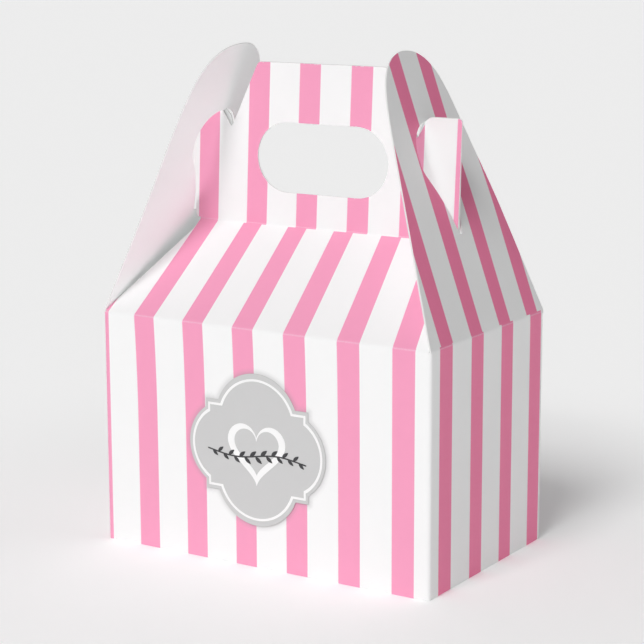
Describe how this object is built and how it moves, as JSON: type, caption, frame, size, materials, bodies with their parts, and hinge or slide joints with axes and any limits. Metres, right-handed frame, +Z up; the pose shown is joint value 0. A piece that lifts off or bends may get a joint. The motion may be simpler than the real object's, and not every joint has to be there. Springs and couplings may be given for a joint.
{
  "type": "gable favour box",
  "caption": "Small folded card gable box with a finger-slot handle, two sloping roof panels, and arched end loops that hook round the handle's ears.",
  "frame": {"origin": "on the floor, under the middle of the box", "axes": "+Z up, +X along the length to the right, -Y towards the front wall with the label"},
  "size_m": [0.1016, 0.0629, 0.1352],
  "materials": {
    "striped_card": "smooth coated card, printed with pink and white stripes",
    "plain_card": "uncoated white card",
    "label_paper": "matte grey paper with a white border line"
  },
  "bodies": {
    "box": {"front_wall": "striped_card", "back_wall": "striped_card", "left_wall": "striped_card", "right_wall": "striped_card", "glue_flap": "plain_card", "front_bottom_flap": "plain_card", "lock_tongue": "plain_card", "back_bottom_flap": "plain_card", "left_dust_flap": "plain_card", "right_dust_flap": "plain_card", "front_label": "label_paper"},
    "front_roof": {"front_roof": "striped_card"},
    "back_roof": {"back_roof": "striped_card"},
    "front_handle": {"front_handle": "striped_card"},
    "back_handle": {"back_handle": "striped_card"},
    "left_gable": {"left_gable": "striped_card"},
    "right_gable": {"right_gable": "striped_card"}
  },
  "joints": [
    {"name": "right_gable_fold", "type": "hinge", "parent": "box", "child": "right_gable", "pos_m": [0.05058, 0, 0.064], "axis": [0, 1, 0], "range_deg": [0, 135]},
    {"name": "left_gable_fold", "type": "hinge", "parent": "box", "child": "left_gable", "pos_m": [-0.05058, 0, 0.064], "axis": [0, -1, 0], "range_deg": [0, 135]},
    {"name": "front_roof_fold", "type": "hinge", "parent": "box", "child": "front_roof", "pos_m": [0, -0.03097, 0.064], "axis": [1, 0, 0], "range_deg": [0, 54]},
    {"name": "back_roof_fold", "type": "hinge", "parent": "box", "child": "back_roof", "pos_m": [0, 0.03097, 0.064], "axis": [-1, 0, 0], "range_deg": [0, 54]},
    {"name": "front_handle_fold", "type": "hinge", "parent": "front_roof", "child": "front_handle", "pos_m": [0, -0.00038, 0.0864], "axis": [-1, 0, 0], "range_deg": [0, 54]},
    {"name": "back_handle_fold", "type": "hinge", "parent": "back_roof", "child": "back_handle", "pos_m": [0, 0.00038, 0.0864], "axis": [1, 0, 0], "range_deg": [0, 54]}
  ],
  "couplings": [
    {"joint": "left_gable_fold", "follows": "right_gable_fold", "ratio": 1},
    {"joint": "front_roof_fold", "follows": "right_gable_fold", "ratio": 0.4},
    {"joint": "back_roof_fold", "follows": "right_gable_fold", "ratio": 0.4},
    {"joint": "front_handle_fold", "follows": "right_gable_fold", "ratio": 0.4},
    {"joint": "back_handle_fold", "follows": "right_gable_fold", "ratio": 0.4}
  ]
}
